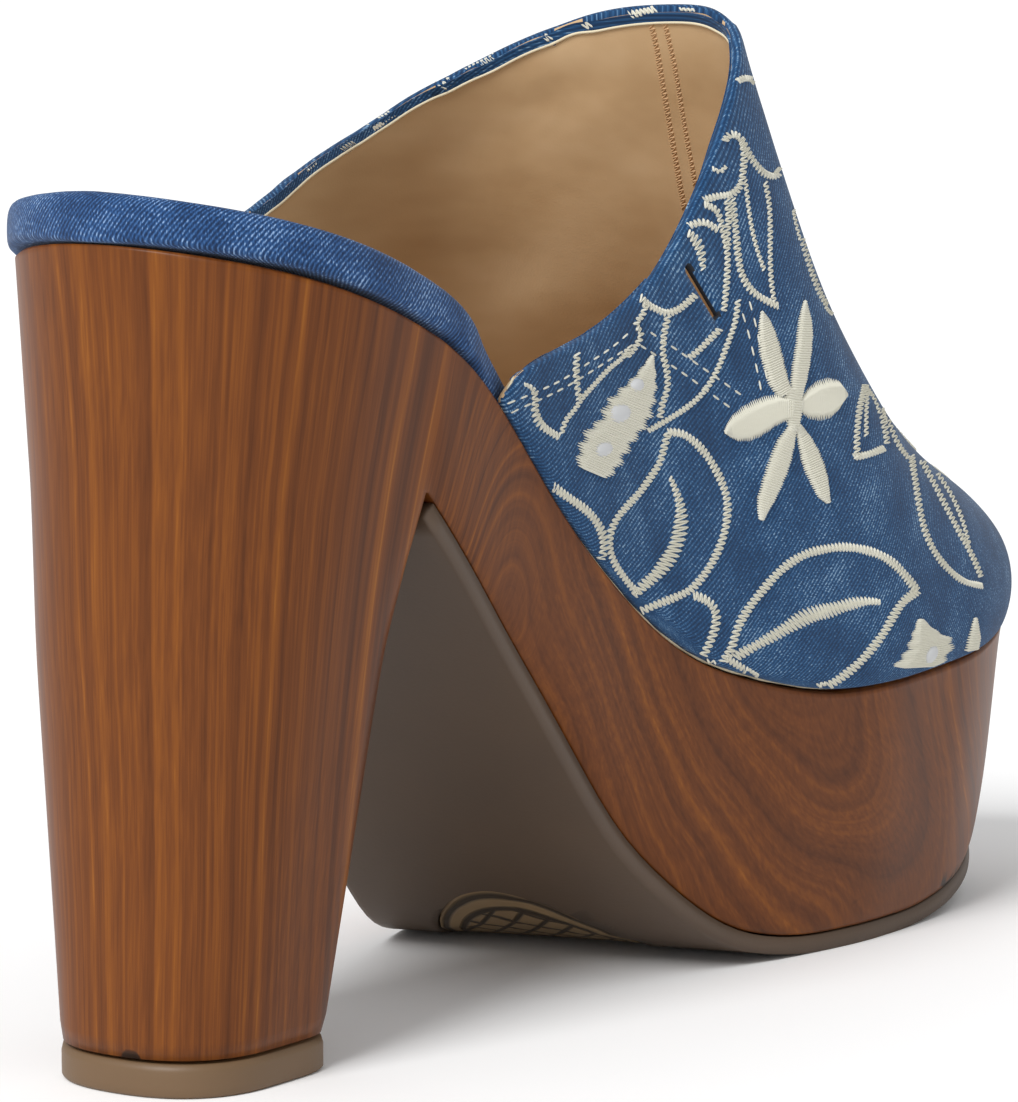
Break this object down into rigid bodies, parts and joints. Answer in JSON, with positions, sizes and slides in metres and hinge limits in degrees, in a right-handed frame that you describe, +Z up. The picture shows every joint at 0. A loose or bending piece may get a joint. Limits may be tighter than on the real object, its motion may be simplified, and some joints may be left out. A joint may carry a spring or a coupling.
{
  "type": "platform mule",
  "caption": "High-heeled platform mule for the left foot, with a moulded wood-look heel and platform, a wrapped insole rim and a hollow closed-toe upper open at the back.",
  "frame": {"origin": "middle of the heel tip's floor face", "axes": "+Y runs level to the toe, +X to the inner (medial) side of the foot, +Z up"},
  "size_m": [0.0916, 0.2419, 0.1641],
  "materials": {
    "printed_wood": "satin",
    "denim": "matte",
    "wrap_denim": "matte",
    "sole_rubber": "matte",
    "pad_rubber": "matte"
  },
  "bodies": {
    "root": {"heel_tip": "sole_rubber", "platform_heel": "printed_wood", "outsole": "sole_rubber", "grip_pad": "pad_rubber", "insole": "wrap_denim", "upper": "denim"}
  },
  "joints": []
}
